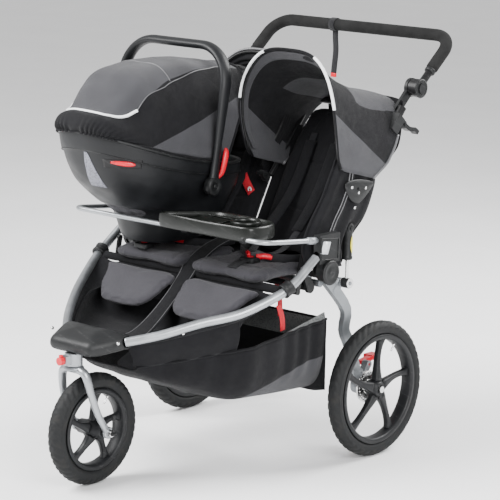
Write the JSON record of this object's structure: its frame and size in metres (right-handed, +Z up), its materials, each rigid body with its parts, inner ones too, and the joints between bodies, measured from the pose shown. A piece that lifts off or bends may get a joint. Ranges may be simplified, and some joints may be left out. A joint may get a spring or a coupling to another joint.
{
  "type": "jogging stroller",
  "caption": "Folding double jogging stroller with air tyres, rear suspension, swivelling front wheel, canopies, snack tray, basket and a docked rear-facing infant carrier.",
  "frame": {"origin": "on the floor under the middle of the stroller's outline", "axes": "+Z up, the stroller faces -Y, +X to the side of the uncovered right-hand seat (the picture's near side); +Y longest"},
  "size_m": [0.776, 1.2846, 1.1834],
  "materials": {
    "silver_tube": "satin anodised",
    "black_tube": "satin black powder coat",
    "steel": "brushed",
    "black_plastic": "fine moulded grain",
    "tray_plastic": "semi-gloss",
    "red_plastic": "gloss",
    "tyre_rubber": "moulded tread",
    "bumper_rubber": "smooth",
    "grip_foam": "closed-cell foam",
    "black_fabric": "woven polyester",
    "grey_fabric": "woven polyester"
  },
  "bodies": {
    "front_frame": {"front_frame_tubes": "silver_tube", "nose_cover": "black_plastic", "swivel_housing": "silver_tube", "seat_crossbars": "black_tube", "hub_brackets": "black_plastic", "hub_bolts": "steel", "seat_pads": "grey_fabric", "calf_pads": "grey_fabric", "footwell": "black_fabric", "basket": "black_fabric", "harness_buckles": "black_plastic"},
    "buckle_button_right": {"buckle_button_right": "red_plastic"},
    "buckle_button_left": {"buckle_button_left": "red_plastic"},
    "swivel_lock": {"swivel_lock_knob": "red_plastic"},
    "fork": {"fork_crown": "silver_tube", "fork_legs": "silver_tube", "front_axle": "steel"},
    "front_quick_release": {"front_quick_release": "black_plastic"},
    "front_wheel": {"front_rim": "black_plastic", "front_tyre": "tyre_rubber"},
    "rear_frame": {"rear_brackets": "black_tube"},
    "swing_arm": {"swing_arms": "silver_tube", "rear_axles": "steel"},
    "shock_cylinder": {"shock_cylinders": "black_plastic", "shock_bumpers": "bumper_rubber"},
    "shock_rod": {"shock_rods": "steel"},
    "rear_wheel_left": {"rear_rim_left": "black_plastic", "rear_tyre_left": "tyre_rubber", "brake_disc_left": "steel"},
    "rear_wheel_right": {"rear_rim_right": "black_plastic", "rear_tyre_right": "tyre_rubber", "brake_disc_right": "steel"},
    "hub_button_left": {"hub_button_left": "steel"},
    "hub_button_right": {"hub_button_right": "steel"},
    "brake_pedal": {"brake_pedal": "red_plastic"},
    "brake_pin_left": {"brake_pin_left": "steel"},
    "brake_pin_right": {"brake_pin_right": "steel"},
    "upper_frame": {"upper_frame_tubes": "black_tube", "knuckles": "black_plastic", "canopy_mounts": "black_tube"},
    "release_lever_left": {"release_lever_left": "black_plastic"},
    "release_lever_right": {"release_lever_right": "black_plastic"},
    "handlebar": {"handlebar_tube": "black_tube", "handlebar_grip": "grip_foam", "wrist_strap": "black_fabric"},
    "canopy_bow_right": {"canopy_bow_right": "black_tube", "canopy_right": "black_fabric"},
    "canopy_bow_left": {"canopy_bow_left": "black_tube", "canopy_left": "black_fabric"},
    "seat_back_right": {"seat_back_right": "grey_fabric"},
    "seat_back_left": {"seat_back_left": "grey_fabric"},
    "carrier": {"adapter_bar": "silver_tube", "snack_tray": "tray_plastic", "carrier_shell": "black_plastic", "carrier_liner": "grey_fabric"},
    "carrier_handle": {"carrier_handle": "black_plastic"},
    "carrier_handle_levers": {"carrier_handle_levers": "red_plastic"},
    "carrier_hood_bow": {"carrier_hood_bow": "black_tube", "carrier_hood": "black_fabric"},
    "carrier_release": {"carrier_release": "red_plastic"}
  },
  "joints": [
    {"name": "steering", "type": "hinge", "parent": "front_frame", "child": "fork", "pos_m": [0, -0.5575, 0.33], "axis": [0, 0, 1], "continuous": true},
    {"name": "front_wheel_spin", "type": "hinge", "parent": "fork", "child": "front_wheel", "pos_m": [0, -0.4875, 0.155], "axis": [1, 0, 0], "continuous": true},
    {"name": "front_quick_release_swing", "type": "hinge", "parent": "fork", "child": "front_quick_release", "pos_m": [0.081, -0.4875, 0.155], "axis": [0, 1, 0], "range_deg": [0, 90]},
    {"name": "swivel_lock_turn", "type": "hinge", "parent": "front_frame", "child": "swivel_lock", "pos_m": [0, -0.5975, 0.362], "axis": [0, 1, 0], "range_deg": [0, 90]},
    {"name": "rear_fold", "type": "hinge", "parent": "front_frame", "child": "rear_frame", "pos_m": [0, 0.0425, 0.565], "axis": [-1, 0, 0], "range_deg": [0, 75], "deforming": ["basket"]},
    {"name": "suspension", "type": "hinge", "parent": "rear_frame", "child": "swing_arm", "pos_m": [0, 0.0425, 0.565], "axis": [1, 0, 0], "range_deg": [-2, 8], "stiffness_Nm_per_rad": 800, "springref_deg": -3.9},
    {"name": "rear_wheel_left_spin", "type": "hinge", "parent": "swing_arm", "child": "rear_wheel_left", "pos_m": [-0.361, 0.2745, 0.195], "axis": [1, 0, 0], "continuous": true},
    {"name": "rear_wheel_right_spin", "type": "hinge", "parent": "swing_arm", "child": "rear_wheel_right", "pos_m": [0.361, 0.2745, 0.195], "axis": [1, 0, 0], "continuous": true},
    {"name": "hub_button_left_press", "type": "slide", "parent": "rear_wheel_left", "child": "hub_button_left", "axis": [1, 0, 0], "range_m": [0, 0.0025]},
    {"name": "hub_button_right_press", "type": "slide", "parent": "rear_wheel_right", "child": "hub_button_right", "axis": [-1, 0, 0], "range_m": [0, 0.0025]},
    {"name": "shock_tilt", "type": "hinge", "parent": "rear_frame", "child": "shock_cylinder", "pos_m": [0.33, 0.1745, 0.666], "axis": [1, 0, 0], "range_deg": [-1.5, 4]},
    {"name": "shock_travel", "type": "slide", "parent": "shock_cylinder", "child": "shock_rod", "axis": [0, 0, 1], "range_m": [-0.006, 0.0205]},
    {"name": "brake_pedal_press", "type": "hinge", "parent": "swing_arm", "child": "brake_pedal", "pos_m": [0.29, 0.3085, 0.249], "axis": [-1, 0, 0], "range_deg": [0, 22]},
    {"name": "brake_pin_left_slide", "type": "slide", "parent": "swing_arm", "child": "brake_pin_left", "axis": [-1, 0, 0], "range_m": [0, 0.008]},
    {"name": "brake_pin_right_slide", "type": "slide", "parent": "swing_arm", "child": "brake_pin_right", "axis": [1, 0, 0], "range_m": [0, 0.008]},
    {"name": "frame_fold", "type": "hinge", "parent": "front_frame", "child": "upper_frame", "pos_m": [0, 0.0425, 0.565], "axis": [1, 0, 0], "range_deg": [0, 115]},
    {"name": "release_lever_left_squeeze", "type": "hinge", "parent": "upper_frame", "child": "release_lever_left", "pos_m": [-0.328, 0.40347, 0.9336], "axis": [1, 0, 0], "range_deg": [0, 12]},
    {"name": "release_lever_right_squeeze", "type": "hinge", "parent": "upper_frame", "child": "release_lever_right", "pos_m": [0.328, 0.40347, 0.9336], "axis": [1, 0, 0], "range_deg": [0, 12]},
    {"name": "handlebar_tilt", "type": "hinge", "parent": "upper_frame", "child": "handlebar", "pos_m": [0, 0.4655, 1.031], "axis": [1, 0, 0], "range_deg": [-60, 60]},
    {"name": "canopy_right_fold", "type": "hinge", "parent": "upper_frame", "child": "canopy_bow_right", "pos_m": [0.182, 0.1875, 0.777], "axis": [-1, 0, 0], "range_deg": [0, 50.6], "deforming": ["canopy_right"]},
    {"name": "canopy_left_fold", "type": "hinge", "parent": "upper_frame", "child": "canopy_bow_left", "pos_m": [-0.182, 0.1875, 0.777], "axis": [1, 0, 0], "range_deg": [-4, 8], "deforming": ["canopy_left"]},
    {"name": "seat_back_right_recline", "type": "hinge", "parent": "upper_frame", "child": "seat_back_right", "pos_m": [0.156, 0.1375, 0.555], "axis": [-1, 0, 0], "range_deg": [0, 20]},
    {"name": "seat_back_left_recline", "type": "hinge", "parent": "upper_frame", "child": "seat_back_left", "pos_m": [-0.156, 0.1375, 0.555], "axis": [-1, 0, 0], "range_deg": [0, 20]},
    {"name": "carrier_dock", "type": "slide", "parent": "front_frame", "child": "carrier", "axis": [0, -0.9952, 0.0976], "range_m": [0, 1.12]},
    {"name": "carrier_handle_turn", "type": "hinge", "parent": "carrier", "child": "carrier_handle", "pos_m": [-0.172, -0.0505, 0.77], "axis": [1, 0, 0], "range_deg": [-10, 28]},
    {"name": "carrier_handle_levers_squeeze", "type": "hinge", "parent": "carrier_handle", "child": "carrier_handle_levers", "pos_m": [-0.172, -0.0195, 0.8], "axis": [1, 0, 0], "range_deg": [0, 8]},
    {"name": "carrier_hood_fold", "type": "hinge", "parent": "carrier", "child": "carrier_hood_bow", "pos_m": [-0.172, 0.0225, 0.88], "axis": [1, 0, 0], "range_deg": [0, 60], "deforming": ["carrier_hood"]},
    {"name": "carrier_release_pull", "type": "slide", "parent": "carrier", "child": "carrier_release", "axis": [0, 0, 1], "range_m": [0, 0.006]},
    {"name": "buckle_button_right_press", "type": "slide", "parent": "front_frame", "child": "buckle_button_right", "axis": [0, 0, -1], "range_m": [0, 0.002]},
    {"name": "buckle_button_left_press", "type": "slide", "parent": "front_frame", "child": "buckle_button_left", "axis": [0, 0, -1], "range_m": [0, 0.002]}
  ],
  "couplings": [
    {"joint": "shock_tilt", "follows": "suspension", "ratio": 0.352},
    {"joint": "shock_travel", "follows": "suspension", "m_per_rad": 0.1359},
    {"joint": "brake_pin_left_slide", "follows": "brake_pedal_press", "m_per_rad": 0.020314},
    {"joint": "brake_pin_right_slide", "follows": "brake_pedal_press", "m_per_rad": 0.020314},
    {"joint": "canopy_right_fold", "follows": "frame_fold", "ratio": 0.43913},
    {"joint": "carrier_dock", "follows": "frame_fold", "m_per_rad": 0.55}
  ]
}
